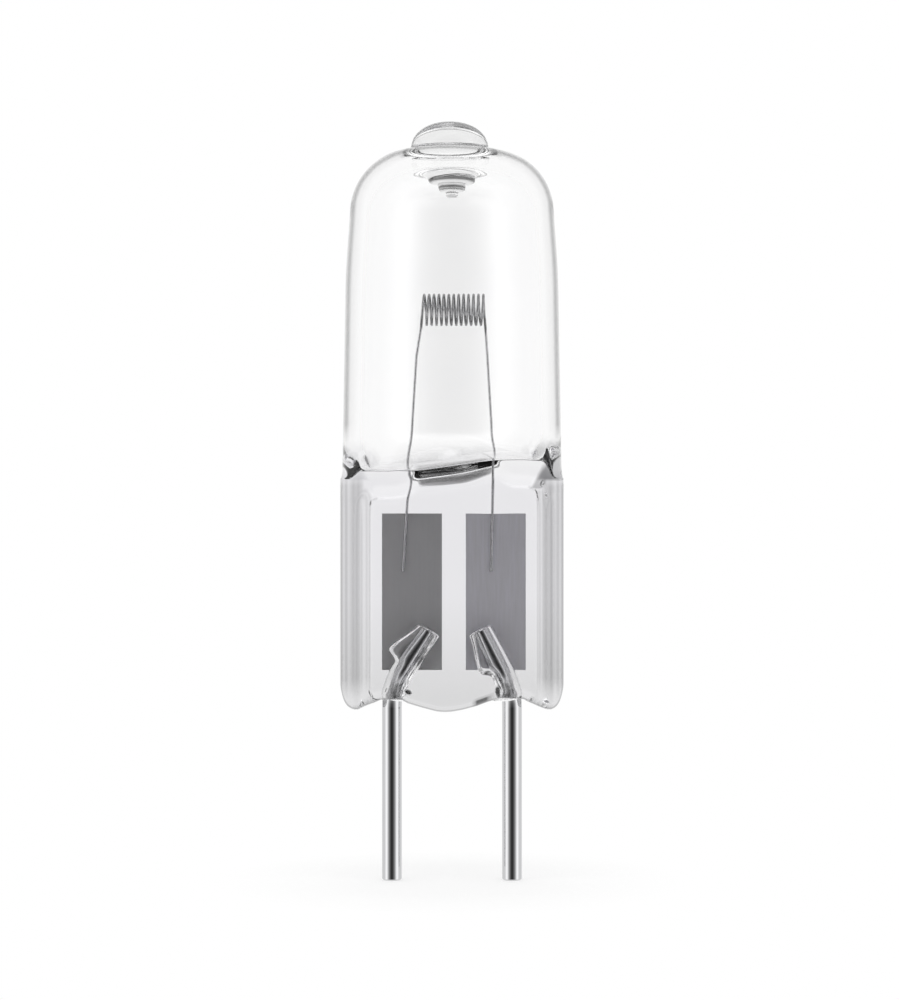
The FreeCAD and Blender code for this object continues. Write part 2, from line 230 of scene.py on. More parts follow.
def slab_outline(sizes):
    """Pressed section seen from above, as (x, y) round the slab from the middle of its front.

    Its front right quarter is a level face, a quarter circle at the rail's outer corner and an
    upright side. It is mirrored to the back and to the left. Points are closer near the rails.
    """
    face_steps, rail_steps, corner_steps, side_steps = 30, 26, 12, 6
    half, crest, corner = sizes.pinch_width / 2, sizes.rail_thickness / 2, sizes.rail_corner
    flat_end = half - corner
    near_rail = half - 2 * sizes.rail_width
    turn = np.linspace(0, QUARTER_TURN, corner_steps)[1:]
    face = np.concatenate([np.linspace(0, near_rail, face_steps),
                           np.linspace(near_rail, flat_end, rail_steps)[1:]])
    side = np.linspace(crest - corner, 0, side_steps)[1:]
    across = np.concatenate([face, flat_end + corner * np.sin(turn), np.full(len(side), half)])
    deep = np.concatenate([np.full(len(face), crest), crest - corner + corner * np.cos(turn), side])
    front_right = np.stack([across, -deep], axis=1)
    right = np.concatenate([front_right, front_right[-2::-1] * (1, -1)])
    return np.concatenate([right, right[-2:0:-1] * (-1, 1)])


def tube_angles(outline):
    """Angle of each outline point on the round tube, by its share of the way round the slab."""
    steps = np.linalg.norm(np.roll(outline, -1, axis=0) - outline, axis=1)
    way = np.concatenate([[0], np.cumsum(steps)[:-1]]) / steps.sum()
    return FULL_TURN * way - QUARTER_TURN


def lower_edge(x):
    """Height of the seal's lower edge: the softened line through its knots."""
    return soft_line(x, LOWER_EDGE, step=0.01, spread=8, reach=24)


def foot_line(x, sizes):
    """Height of the gas space's foot: its level and the softened line through its rise."""
    return sizes.foot_level + soft_line(x, FOOT_RISE, step=0.025, spread=7, reach=16)


def thick_share(x):
    """1 where the quartz is thick under the middle of the foot, and 0 at both sides."""
    return smooth_step(x, *THICK_START) * (1 - smooth_step(x, *THICK_END))


def opening_line(x, sizes):
    """Height where the seal opens to the tube, on the outer skin.

    In the middle it lies below the foot by the floor's thickness, which is greater in the thick
    part and shrinks to the right. At both sides it passes smoothly to a height of its own.
    """
    thinner = 1 - THINNED_SHARE * smooth_step(x, *THINNING)
    floor = sizes.foot_floor + sizes.thick_floor * thick_share(x) * thinner
    beside = smooth_step(np.abs(x), *OPENING_SIDES)
    return (foot_line(x, sizes) - floor) * (1 - beside) + sizes.side_opening * beside


def field_top(x, sizes):
    """Height and run of the field's upper slope, and how much shallower the field is below it.

    The slope lies a fixed distance below the opening. The thick share adds to height and run.
    """
    thick = thick_share(x)
    height = opening_line(x, sizes) - sizes.field_gap + FIELD_RISE * thick
    run = sizes.field_run + FIELD_RUN_MORE * thick
    return height, run, SHALLOWER * thick * smooth_step(x, *SHALLOWER_RANGE)


def pressed_field(x, z, edges, corner, top, run):
    """Share of the full depth: 1 on the pressed field, 0 on the rails and above the field.

    The field is a rectangle with round upper corners that is open below. The share is a smooth
    step over the distance from its edge, as wide as the run.
    """
    left, right = edges
    beside = np.abs(x - (left + right) / 2) - ((right - left) / 2 - corner)
    above = z - (top - corner)
    outside = np.hypot(np.maximum(beside, 0), np.maximum(above, 0))
    distance = outside + np.minimum(np.maximum(beside, above), 0) - corner
    return smooth_step(-distance, -run / 2, run / 2)


def pressed_depth(x, y, deep, height, sizes):
    """Place across the thickness after pressing: deep times 1 - depth of the field / |y|.

    On the slab's own outline, where deep is y, that takes off the field's depth. Where the lower
    edge closes, it takes off less.
    """
    depth = (sizes.rail_thickness - sizes.web_thickness) / 2
    top, run, shallower = field_top(x, sizes)
    front = pressed_field(x, height, FRONT_FIELD, sizes.field_corner, top, run)
    back = pressed_field(x, height, BACK_FIELD, sizes.field_corner, top, run)
    field = np.where(y < 0, front, back)
    slope_foot = top - run / 2
    near_top = smooth_step(height, slope_foot - SHALLOWER_FADE, slope_foot)
    pressed = field * (depth - shallower * near_top)
    tiny = 1e-9
    return deep * (1 - pressed / np.maximum(np.abs(y), tiny))


# The bulb

# The outer skin's line has a corner a taper height above the round tube and one at the shoulder,
# which lies inwards of the upper radius and down from the crown's level
TAPER_HEIGHT = 8.3
TAPER_ROUND = 40
SHOULDER_IN = 0.433
SHOULDER_DOWN = 0.735
SHOULDER_ROUND = 3.25

# The crown's slope would meet the crown's level at this radius
CROWN_INNER_RADIUS = 1.4

# The tip: its root's rounding, the heights above the root where that ends and where its upright
# run does, and the dome's first angle, its gap above the root's rounding and its fullness
TIP_ROOT_ROUND = 0.2
TIP_ROOT_END = 0.21
TIP_STUB = 0.6
DOME_START = 0.2
DOME_GAP = 0.02
DOME_POWER = 2.15

# Height below the crown's level over which rows move aside to the tip
TIP_SHIFT_FADE = 0.9

# The gas space's shoulder lies this far out and up from the outer one less the wall
INNER_SHOULDER_OUT = 0.06
INNER_SHOULDER_UP = 0.16
INNER_SHOULDER_ROUND = 2.3

# Share of the opening's height over which the foot widens to the whole tube
WIDENING_SHARE = 0.6

# The quartz that hangs under the tip, as (radius, depth below the crown, rounding). Between two
# depths, rows inside the drop's reach move aside to the tip
DROP = ((1.36, 1.12, 0.12), (1.22, 1.6, 0.14), (0.78, 1.72, 0.05), (0.68, 2.12, 0.08),
        (0.34, 2.22, 0.05), (0.28, 2.52, 0.06))
DROP_END = 2.56
DROP_REACH = 2
DROP_SHIFT_DEPTHS = (1.4, 1.0)

# Where the tube opens, rows crowd towards the opening by this power. Above, none is further from
# the next than the gap
ROW_CROWDING = 1.8
ROW_GAP = 0.5


def bowl_share(part):
    """How far the flattened tube has opened: a quarter ellipse over the height, from 0 to 1."""
    return np.sqrt(1 - (1 - np.clip(part, 0, 1)) ** 2)


def bulb_outline(sizes):
    """Radius and height of the outer skin from the round tube up over the shoulder to the tip.

    The body is a line with rounded corners. The tip above it is a dome: radius and height follow
    cos and sin of a turn, each to the power 2 / DOME_POWER.
    """
    tip, crown = sizes.tip_radius, sizes.crown_level
    shoulder = (sizes.upper_radius - SHOULDER_IN, crown - SHOULDER_DOWN)
    slope = SHOULDER_DOWN / (shoulder[0] - CROWN_INNER_RADIUS)
    root = crown - (tip - CROWN_INNER_RADIUS) * slope
    body = rounded_line(
        [(sizes.tube_radius, sizes.tube_level),
         (sizes.upper_radius, sizes.tube_level + TAPER_HEIGHT), shoulder,
         (tip, root), (tip, root + TIP_STUB)],
        [TAPER_ROUND, SHOULDER_ROUND, TIP_ROOT_ROUND], samples=26)
    body = body[body[:, 1] < root + TIP_ROOT_END]
    turns = np.linspace(DOME_START, QUARTER_TURN, num=26)
    fullness = 2 / DOME_POWER
    rise = sizes.lamp_top - root
    dome = np.stack([tip * np.cos(turns) ** fullness,
                     root + rise * np.sin(turns) ** fullness], axis=1)
    dome = dome[dome[:, 1] > body[-1, 1] + DOME_GAP]
    dome[-1, 0] = 0
    return np.concatenate([filled_in(body, ROW_GAP), dome])


def outer_skin(sizes):
    """Outer surface as a grid of rows up the lamp and columns round it.

    A row is the pressed slab's outline below, the round tube above, and a share of each where the
    tube flattens. The lowest rows close the lower edge on the middle plane: depth grows with the
    sine of a quarter turn to the power LIP_FULLNESS, and height with 1 - cos.
    """
    outline = slab_outline(sizes)
    circle = circle_of(tube_angles(outline))
    x, y = outline.T
    edge = lower_edge(x)
    near_notch = np.exp(-((np.abs(x) - NOTCH_PLACE) / NOTCH_WIDTH) ** 2)
    lip = sizes.lower_round + NOTCH_ROUND * near_notch * (y < 0)
    opening = opening_line(x, sizes)
    turn = np.linspace(0, QUARTER_TURN, LIP_ROWS)[:-1, None]
    seal = np.unique(np.concatenate([np.linspace(*rows) for rows in SEAL_ROWS]))[:, None]
    part = np.linspace(0, 1, OPENING_ROWS)[1:-1, None] ** ROW_CROWDING
    height = np.concatenate([edge + lip * (1 - np.cos(turn)),
                             edge + lip + (opening - edge - lip) * seal,
                             opening + (sizes.tube_level - opening) * part])
    above_lip = np.ones((len(seal) + len(part), 1))
    deep = y * np.concatenate([np.sin(turn) ** LIP_FULLNESS, above_lip])
    deep = pressed_depth(x, y, deep, height, sizes)
    blown = bowl_share((height - opening) / (sizes.tube_level - opening))
    tube = sizes.tube_radius * blown
    lower = np.stack([x * (1 - blown) + circle[:, 0] * tube,
                      deep * (1 - blown) + circle[:, 1] * tube, height], axis=2)
    line = bulb_outline(sizes)
    crown = sizes.crown_level
    aside = sizes.tip_shift * smooth_step(line[:, 1], crown - TIP_SHIFT_FADE, crown)
    return np.concatenate([lower, round_rows(line, circle, aside)])


def gas_space(sizes):
    """Inner surface of the bulb, as a grid of rows from its foot up to the drop under the tip.

    Where the tube opens, a row's depth follows a quarter ellipse over the height, its width a
    sooner one, and its height starts on the slanting foot. Above, rows are round: they follow the
    outer line inside the wall, and then the drop.
    """
    columns, foot_rows = 160, 44
    circle = circle_of(FULL_TURN * np.arange(columns) / columns - QUARTER_TURN)
    tube = sizes.tube_radius - sizes.wall
    part = np.linspace(0, 1, foot_rows)[:-1, None] ** ROW_CROWDING
    widened = (tube - sizes.foot_half_width) * bowl_share(part / WIDENING_SHARE)
    across = circle[:, 0] * (sizes.foot_half_width + widened)
    foot = foot_line(across, sizes)
    lower = np.stack([across, circle[:, 1] * tube * bowl_share(part),
                      foot + (sizes.tube_level - foot) * part], axis=2)
    crown, upper = sizes.crown_level, sizes.upper_radius - sizes.wall
    shoulder = (upper - SHOULDER_IN + INNER_SHOULDER_OUT,
                crown - SHOULDER_DOWN - sizes.wall + INNER_SHOULDER_UP)
    drop = [(radius, crown - depth) for radius, depth, rounding in DROP]
    line = rounded_line(
        [(tube, sizes.tube_level), (upper, sizes.tube_level + TAPER_HEIGHT), shoulder, *drop,
         (0, crown - DROP_END)],
        [TAPER_ROUND, INNER_SHOULDER_ROUND, *[rounding for radius, depth, rounding in DROP]],
        samples=8)
    line = filled_in(line, ROW_GAP)
    fade_low, fade_high = crown - DROP_SHIFT_DEPTHS[0], crown - DROP_SHIFT_DEPTHS[1]
    aside = sizes.tip_shift * smooth_step(line[:, 1], fade_low, fade_high)
    aside = aside * (line[:, 0] < DROP_REACH)
    return np.concatenate([lower, round_rows(line, circle, aside)])


# Air in the seal

# A pin's route: upright below, bent inwards and forwards, and straight on to its end at a foil
PIN_PLACE = 3.175
ROUTE_START = 8.6
BEND_LEVEL = 9.65
SEAL_BEND = (2.775, -0.515, 10.75)
ROUTE_END = {LEFT: -1.25, RIGHT: 1.52}
ROUTE_TOP = 13.2
BEND_RADIUS = 1.9
ROUTE_STEP = 0.1

# The capillary starts at this height. Its closing rows lie between two distances past the end
CAPILLARY_FOOT = 9.62
CAP_PLACES = (0.03, 0.16)
CAP_ROWS = 5

# Its unevenness: a wave; a bulge on the left, as (start, peak) along the pin and size, which
# reaches round a cosine to a power; and a flare of the same kind at the foot's inner side
WAVE = 0.012
WAVE_RATE = 1.3
BULGE = {LEFT: (2.1, 2.6, 0.66), RIGHT: (1.9, 2.4, 0.5)}
BULGE_LEAN = 0.3
BULGE_OVERLAP = 0.1
BULGE_FALL = 1.2
BULGE_POWER = 4
FLARE = 0.4
FLARE_WAY = 0.3
FLARE_POWER = 6

# The rearmost y that the air may have where a foil lies behind it
BEFORE_FOIL = -0.021

# Small closed voids in the melt, as (middle, half sizes, tilt)
BUBBLES = (
    ((-2.3, -0.9, 9.98), (0.22, 0.16, 0.15), -0.4),
    ((2.4, -0.9, 10.06), (0.17, 0.17, 0.24), 0.0),
    ((3.6, -0.85, 9.82), (0.1, 0.12, 0.15), 0.0),
    ((-4.12, -0.6, 9.78), (0.36, 0.12, 0.055), -0.3),
    ((-4.5, -0.6, 9.98), (0.06, 0.1, 0.12), 0.3),
)


def pin_route(side):
    """Points along a bent pin from the seal's foot to its end, and the direction at each.

    A few more points run straight on past the end, for the rows that close the capillary.
    """
    line = rounded_line(
        [(side * PIN_PLACE, 0, ROUTE_START), (side * PIN_PLACE, 0, BEND_LEVEL),
         (side * SEAL_BEND[0], SEAL_BEND[1], SEAL_BEND[2]),
         (ROUTE_END[side], SEAL_BEND[1], ROUTE_TOP)],
        [BEND_RADIUS, BEND_RADIUS], samples=12)
    line = filled_in(line, ROUTE_STEP)
    line = line[line[:, 2] > CAPILLARY_FOOT]
    along = np.gradient(line, axis=0)
    along /= np.linalg.norm(along, axis=1)[:, None]
    past = line[-1] + along[-1] * np.linspace(*CAP_PLACES, CAP_ROWS)[:, None]
    return np.concatenate([line, past]), np.concatenate([along, along[-1:].repeat(CAP_ROWS, 0)])


def capillary_radius(sizes, side, way, angles):
    """Radius of a capillary by the way along its pin and the angle round it.

    It is the pin's radius and the gap, a sine wave, a bulge that rises and falls in smooth steps,
    and a flare that fades as exp(-(way / FLARE_WAY)^2). A quarter ellipse closes it at the end.
    """
    radius = sizes.pin_radius + sizes.capillary_gap + WAVE * np.sin(WAVE_RATE * way + angles + side)
    start, peak, bulge = BULGE[side]
    falling = 1 - smooth_step(way, peak - BULGE_OVERLAP, way[-1])
    on_left = np.maximum(np.cos(angles + BULGE_LEAN), 0) ** BULGE_POWER
    radius += bulge * smooth_step(way, start, peak) * falling ** BULGE_FALL * on_left
    inner_angle = math.pi if side == LEFT else 0
    on_inner_side = np.maximum(np.cos(angles - inner_angle), 0) ** FLARE_POWER
    radius += FLARE * np.exp(-(way / FLARE_WAY) ** 2) * on_inner_side
    shares = np.arange(1, CAP_ROWS + 1)[:, None] / CAP_ROWS
    radius[-CAP_ROWS:] *= np.sqrt(1 - shares ** 2)
    return radius


def pin_capillary(sizes, side):
    """Air round a bent pin in the quartz, as a grid of rows along the pin and columns round it.

    A row is its radius times cos and sin along the two axes across the pin. The lowest row is a
    pole. Where the foil lies behind the pin, the air stays in front of it.
    """
    columns = 40
    line, along = pin_route(side)
    across = np.cross(along, (0.0, 1.0, 0.0))
    across /= np.linalg.norm(across, axis=1)[:, None]
    behind = np.cross(across, along)
    angles = FULL_TURN * np.arange(columns) / columns
    way = ROUTE_STEP * np.arange(len(line))[:, None]
    radius = capillary_radius(sizes, side, way, angles)[:, :, None]
    circle = circle_of(angles)
    grid = line[:, None] + radius * (circle[None, :, :1] * across[:, None]
                                     + circle[None, :, 1:] * behind[:, None])
    grid = np.concatenate([np.repeat(line[:1, None], columns, axis=1), grid])
    y = grid[:, :, 1]
    grid[:, :, 1] = np.where(grid[:, :, 2] > sizes.foil_foot, np.minimum(y, BEFORE_FOIL), y)
    return grid


def bubble(middle, halves, tilt):
    """Closed void in the quartz: an ellipsoid round its middle, tilted in the lamp's front plane."""
    rows, columns = 13, 24
    rise = np.linspace(-QUARTER_TURN, QUARTER_TURN, rows)[:, None]
    turn = (FULL_TURN * np.arange(columns) / columns)[None, :]
    x = halves[0] * np.cos(rise) * np.cos(turn)
    y = halves[1] * np.cos(rise) * np.sin(turn)
    z = halves[2] * np.sin(rise) * np.ones_like(turn)
    return np.stack([middle[0] + x * math.cos(tilt) - z * math.sin(tilt), middle[1] + y,
                     middle[2] + x * math.sin(tilt) + z * math.cos(tilt)], axis=2)


# Node trees

class NodeTree:
    """A material's or the world's node tree, with short ways to add what repeats."""

    def __init__(self, owner):
        owner.use_nodes = True
        self.nodes, self.links = owner.node_tree.nodes, owner.node_tree.links

    def join(self, value, socket):
        """Links another node's output to the socket, or sets a plain value on it."""
        if isinstance(value, bpy.types.NodeSocket):
            self.links.new(value, socket)
        else:
            socket.default_value = value

    def fill(self, node, values):
        """Joins each value to the input of its name or number, and returns the outputs."""
        for name, value in values.items():
            self.join(value, node.inputs[name])
        return node.outputs

    def add(self, kind, **values):
        """A new node with the given inputs, of which the outputs are returned."""
        return self.fill(self.nodes.new(kind), values)

    def number(self, operation, *values):
        """A number worked out from others."""
        node = self.nodes.new("ShaderNodeMath")
        node.operation = operation
        return self.fill(node, dict(enumerate(values)))["Value"]

    def vector_number(self, operation, *values):
        """A number worked out from vectors."""
        node = self.nodes.new("ShaderNodeVectorMath")
        node.operation = operation
        return self.fill(node, dict(enumerate(values)))["Value"]

    def share(self, value, low, high, first=0.0, last=1.0):
        """A number that runs from first, at the value low, to last, at the value high."""
        return self.fill(self.nodes.new("ShaderNodeMapRange"), {
            "Value": value, "From Min": low, "From Max": high, "To Min": first,
            "To Max": last})["Result"]

    def mixed(self, share, first, second, blending="MIX"):
        """The colour first, and as much of the blend with the second as the share says."""
        node = self.nodes.new("ShaderNodeMix")
        node.data_type = "RGBA"
        node.blend_type = blending
        return self.fill(node, {"Factor": share, "A": first, "B": second})["Result"]

    def multiplied(self, colour, tone, share=1.0):
        """The colour, multiplied by the tone as far as the share says."""
        return self.mixed(share, colour, tone, "MULTIPLY")

    def between(self, value, low, high, first, second):
        """Colour that runs from first, at the value low, to second, at the value high."""
        return self.mixed(self.share(value, low, high), (*first, 1), (*second, 1))

    def tones(self, value, stops):
        """Colour that follows stops of (value, lightness or colour)."""
        low, high = stops[0][0], stops[-1][0]
        node = self.nodes.new("ShaderNodeValToRGB")
        elements = node.color_ramp.elements
        while len(elements) < len(stops):
            elements.new(0.5)
        for element, (place, light) in zip(elements, stops):
            element.position = (place - low) / (high - low)
            element.color = (*np.broadcast_to(light, 3), 1)
        return self.fill(node, {"Fac": self.share(value, low, high)})["Color"]

    def place(self, stretch=(1, 1, 1)):
        """Object coordinates in millimetres, times the stretch."""
        mapping = self.nodes.new("ShaderNodeMapping")
        return self.fill(mapping, {
            "Vector": self.add("ShaderNodeTexCoord")["Object"],
            "Scale": [share / MM for share in stretch]})["Vector"]

    def from_axis(self):
        """Distance from the lamp's axis in millimetres."""
        return self.vector_number("LENGTH", self.place((1, 1, 0)))


def new_material(name):
    """A material with its node tree and its Principled shader."""
    material = bpy.data.materials.new(name)
    tree = NodeTree(material)
    return material, tree, tree.nodes["Principled BSDF"]


# The quartz's looks

QUARTZ_REFRACTION = 1.46
FLAW_ROUGHNESS = 0.1
CLEAR_QUARTZ = ((0.985, 0.985, 0.99), (1.0, 1.0, 1.0))
NOISE_RANGE = (0.3, 0.7)

# Painted shade at the rims: the skin's tone by how far it turns from the eye, and the share of it by
# height
RIM_PAINTED_SHADE = ((0.5, 1.0), (0.56, 0.9), (0.62, 0.8), (0.66, 0.72), (0.69, 0.45), (0.72, 0.24),
             (0.76, 0.12), (0.83, 0.2), (1.0, 0.6))
RIM_SHADE_HEIGHTS = ((20.6, 1.0), (21.3, 0.25), (23.0, 0.25), (24.0, 1.0))

# Painted shade on the rails, in grey streaks: their tone by distance from the middle plane, and the
# share of it by height
RAIL_PAINTED_SHADE = ((4.6, 1.0), (4.88, 0.64), (5.0, 0.72), (5.16, 0.54), (5.4, 0.76), (5.54, 0.42),
              (5.66, 0.62), (5.76, 0.38), (5.9, 0.9))
RAIL_SHADE_HEIGHTS = ((9.6, 0.0), (10.7, 1.0), (20.8, 1.0), (21.6, 0.0))

# Painted shade in grey triangles where the rails end. Their inner edge leans outwards as it rises,
# and is soft between two distances from the middle plane, given at one level
END_LEAN = 0.56
END_LEVEL = 21.14
END_EDGE = (4.3, 4.55)
END_FOOT = (21.05, 21.2)
END_TOP = (23.2, 22.6)
END_LEFT_SHADE = (0.85, 0.85, 0.86)
END_RIGHT_SHADE = (0.34, 0.34, 0.345)

# Painted shade in slanting dark marks, as (slope, shares by height over the slanting line, shares
# across, tone): under the foot, and at the lower edge beside the right pin
SLANTING_PAINTED_SHADE = (
    (0.11, ((21.5, 0.0), (21.62, 1.0), (22.0, 1.0), (22.08, 0.0)),
     ((-2.0, 0.0), (-1.7, 1.0), (1.6, 1.0), (2.4, 0.0)), 0.4),
    (0.36, ((9.08, 1.0), (9.2, 0.0)),
     ((1.0, 0.0), (1.3, 1.0), (1.8, 1.0), (2.4, 0.0)), 0.02),
)

# Painted shade on the drop: dark bands by height, and the distances from the axis between which it
# comes in
DROP_PAINTED_SHADE = ((36.1, 0.72), (36.2, 0.25), (36.35, 0.78), (36.55, 0.78), (36.65, 0.09),
              (36.78, 0.11), (36.88, 0.78), (37.08, 0.7), (37.14, 0.02), (37.3, 0.04),
              (37.44, 0.72), (37.7, 0.8))
DROP_SHADE_EDGE = (1.6, 1.4)


def quartz(name, roughness=0.0):
    """A material of clear fused quartz, with its node tree and its shader."""
    material, tree, shader = new_material(name)
    tree.fill(shader, {"Roughness": roughness, "IOR": QUARTZ_REFRACTION,
                       "Transmission Weight": 1.0})
    return material, tree, shader


def rail_end_shade_share(tree, x, z):
    """1 in the painted shade's triangles where the rails end under the bulb, which are wide below."""
    leaning = tree.number("MULTIPLY_ADD", z, -END_LEAN, tree.number("ABSOLUTE", x))
    edge = [distance - END_LEAN * END_LEVEL for distance in END_EDGE]
    in_height = tree.number("MULTIPLY", tree.share(z, *END_FOOT), tree.share(z, *END_TOP))
    return tree.number("MULTIPLY", in_height, tree.share(leaning, *edge))


def skin_material(looks):
    """The outer skin: grey down the seal, with painted shade in dark rims, grey streaks on the rails,
    grey triangles where the rails end and slanting dark marks.
    """
    material, tree, shader = quartz("quartz")
    axes = tree.add("ShaderNodeSeparateXYZ", Vector=tree.place())
    x, z = axes["X"], axes["Z"]
    colour = tree.tones(z, ((9.0, looks.foot_tint), (15.0, looks.pinch_tint),
                            (21.0, looks.pinch_tint), (22.6, looks.bulb_tint),
                            (38.5, looks.bulb_tint), (38.9, looks.tip_tint)))
    # Painted shade: dark rims where the skin turns away from the eye
    turned_away = tree.add("ShaderNodeLayerWeight", Blend=0.5)["Facing"]
    colour = tree.multiplied(colour, tree.tones(turned_away, RIM_PAINTED_SHADE), tree.tones(z, RIM_SHADE_HEIGHTS))
    # Painted shade: grey streaks down the rails
    streaks = tree.tones(tree.number("ABSOLUTE", x), RAIL_PAINTED_SHADE)
    colour = tree.multiplied(colour, streaks, tree.tones(z, RAIL_SHADE_HEIGHTS))
    # Painted shade: light grey on the left and dark grey on the right, where the rails end
    end_shade = tree.between(x, -1, 1, END_LEFT_SHADE, END_RIGHT_SHADE)
    colour = tree.multiplied(colour, end_shade, rail_end_shade_share(tree, x, z))
    # Painted shade: slanting dark marks under the foot and at the lower edge
    for slope, by_height, by_width, tone in SLANTING_PAINTED_SHADE:
        over_line = tree.tones(tree.number("MULTIPLY_ADD", x, -slope, z), by_height)
        share = tree.number("MULTIPLY", over_line, tree.tones(x, by_width))
        colour = tree.multiplied(colour, (tone, tone, tone, 1), share)
    tree.join(colour, shader.inputs["Base Color"])
    return material


def inside_material():
    """The inner surfaces: clear, with painted shade in dark bands round the drop under the tip."""
    material, tree, shader = quartz("quartz_inside")
    place = tree.place()
    noise = tree.add("ShaderNodeTexNoise", Vector=place, Scale=0.4)["Fac"]
    clear = tree.between(noise, *NOISE_RANGE, *CLEAR_QUARTZ)
    # Painted shade: dark bands round the drop under the tip
    drop_shade = tree.tones(tree.add("ShaderNodeSeparateXYZ", Vector=place)["Z"], DROP_PAINTED_SHADE)
    colour = tree.multiplied(clear, drop_shade, tree.share(tree.from_axis(), *DROP_SHADE_EDGE))
    tree.join(colour, shader.inputs["Base Color"])
    return material


def flaw_material(looks):
    """Small voids that the melt closed over, tinted dark as painted shade."""
    material, tree, shader = quartz("quartz_flaw", FLAW_ROUGHNESS)
    shader.inputs["Base Color"].default_value = (*looks.void_shade, 1)
    return material


# The metals' looks

# Painted shade as share of the tone by height: darker in and round the coil, where its turns shade
# each other, and on the pins' bends in the seal
FILAMENT_PAINTED_SHADE = ((28.9, 1.0), (29.2, 0.42), (29.65, 0.45), (29.85, 0.85), (30.15, 0.85),
                   (30.4, 0.5), (31.0, 0.45))
PIN_PAINTED_SHADE = ((9.6, 1.0), (9.8, 0.55), (10.35, 0.55), (10.7, 0.9))

GLOSS_SPREAD = 0.15
BUMP_STRENGTH = 0.3
DULLING_HEIGHT = 0.6


def metal_material(name, colour, roughness, streaks, depth, variation, painted_shade=(), dull=0.0):
    """Metal with drawn or rolled streaks: stretched noise in its colour, gloss and relief.

    Streaks are the noise's repeats in a millimetre along each axis, depth is the relief's in
    millimetres, and variation is the tone's spread. Painted shade gives (height, share of the tone),
    and from the first one upwards the roughness grows by dull.
    """
    material, tree, shader = new_material(name)
    noise = tree.add("ShaderNodeTexNoise", Vector=tree.place(streaks), Scale=1.0, Detail=4.0)["Fac"]
    colour = np.array(colour)
    tone = tree.between(noise, *NOISE_RANGE, colour * (1 - variation), colour * (1 + variation))
    rough = tree.share(noise, *NOISE_RANGE, roughness * (1 - GLOSS_SPREAD),
                       roughness * (1 + GLOSS_SPREAD))
    if painted_shade:
        height = tree.add("ShaderNodeSeparateXYZ", Vector=tree.place())["Z"]
        start = painted_shade[0][0]
        # Painted shade: the tone darkens by height
        tone = tree.multiplied(tone, tree.tones(height, painted_shade))
        added = tree.share(height, start, start + DULLING_HEIGHT, 0.0, dull)
        rough = tree.number("ADD", rough, added)
    relief = tree.add("ShaderNodeBump", Strength=BUMP_STRENGTH, Distance=depth * MM, Height=noise)
    tree.fill(shader, {"Base Color": tone, "Roughness": rough, "Normal": relief["Normal"],
                       "Metallic": 1.0})
    return material


def dress(node, material):
    """Gives a CAD piece its material."""
    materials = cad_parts[node].data.materials
    materials.clear()
    materials.append(material)


# The studio's looks

# Lightness of the studio by the angle in degrees from the camera's side: dark round the camera
STUDIO_LIGHT = ((180, 1.0), (95, 1.0), (80, 1.25), (70, 1.6), (57, 1.5), (45, 0.84), (33, 0.4),
                (22, 0.18), (11, 0.06), (0, 0.03))
STUDIO_STRENGTH = 2.0

FLOOR_GREY = 0.92
FLOOR_ROUGHNESS = 0.9
FLOOR_WHITE_EDGE = (6, 12.5)


def studio_world():
    """White round the lamp and at its sides, dark round the camera, white itself to the camera.

    Light that has passed through quartz without being mirrored sees at least white everywhere.
    """
    world = bpy.data.worlds.new("studio")
    tree = NodeTree(world)
    tree.nodes.clear()
    direction = tree.add("ShaderNodeTexCoord")["Generated"]
    facing = tree.vector_number("DOT_PRODUCT", direction, (0, -1, 0))
    light = tree.tones(facing, [(math.cos(math.radians(degrees)), lightness / STUDIO_STRENGTH)
                                for degrees, lightness in STUDIO_LIGHT])
    rays = tree.add("ShaderNodeLightPath")
    half_bounce = 0.5
    unmirrored = tree.number("LESS_THAN", rays["Glossy Depth"], half_bounce)
    through = tree.number("MULTIPLY", unmirrored, rays["Is Transmission Ray"])
    white_half = 1 / STUDIO_STRENGTH
    light = tree.mixed(through, light, (white_half, white_half, white_half, 1), "LIGHTEN")
    studio = tree.add("ShaderNodeBackground", Color=light, Strength=STUDIO_STRENGTH)["Background"]
    white = tree.add("ShaderNodeBackground", Color=(1, 1, 1, 1))["Background"]
    mix = tree.nodes.new("ShaderNodeMixShader")
    shown = tree.fill(mix, {"Fac": rays["Is Camera Ray"], 1: studio, 2: white})["Shader"]
    tree.fill(tree.nodes.new("ShaderNodeOutputWorld"), {"Surface": shown})
    return world


def floor_material(looks):
    """Pale matt floor, which mirrored rays don't see.

    Camera and transmitted rays see a share of plain white in it, which grows to all of it with
    the distance from the lamp.
    """
    material, tree, shader = new_material("floor")
    tree.fill(shader, {"Base Color": (FLOOR_GREY, FLOOR_GREY, FLOOR_GREY, 1),
                       "Roughness": FLOOR_ROUGHNESS, "Specular IOR Level": 0.0})
    rays = tree.add("ShaderNodeLightPath")
    seen = tree.number("MAXIMUM", rays["Is Camera Ray"], rays["Is Transmission Ray"])
    share = tree.share(tree.from_axis(), *FLOOR_WHITE_EDGE, looks.floor_white, 1.0)
    white = tree.add("ShaderNodeEmission")["Emission"]
    clear = tree.add("ShaderNodeBsdfTransparent")["BSDF"]
    pale = tree.fill(tree.nodes.new("ShaderNodeMixShader"), {
        "Fac": tree.number("MULTIPLY", seen, share), 1: shader.outputs["BSDF"], 2: white})["Shader"]
    shown = tree.fill(tree.nodes.new("ShaderNodeMixShader"), {
        "Fac": rays["Is Glossy Ray"], 1: pale, 2: clear})["Shader"]
    tree.join(shown, tree.nodes["Material Output"].inputs["Surface"])
    return material


# Sizes and colours that can be set

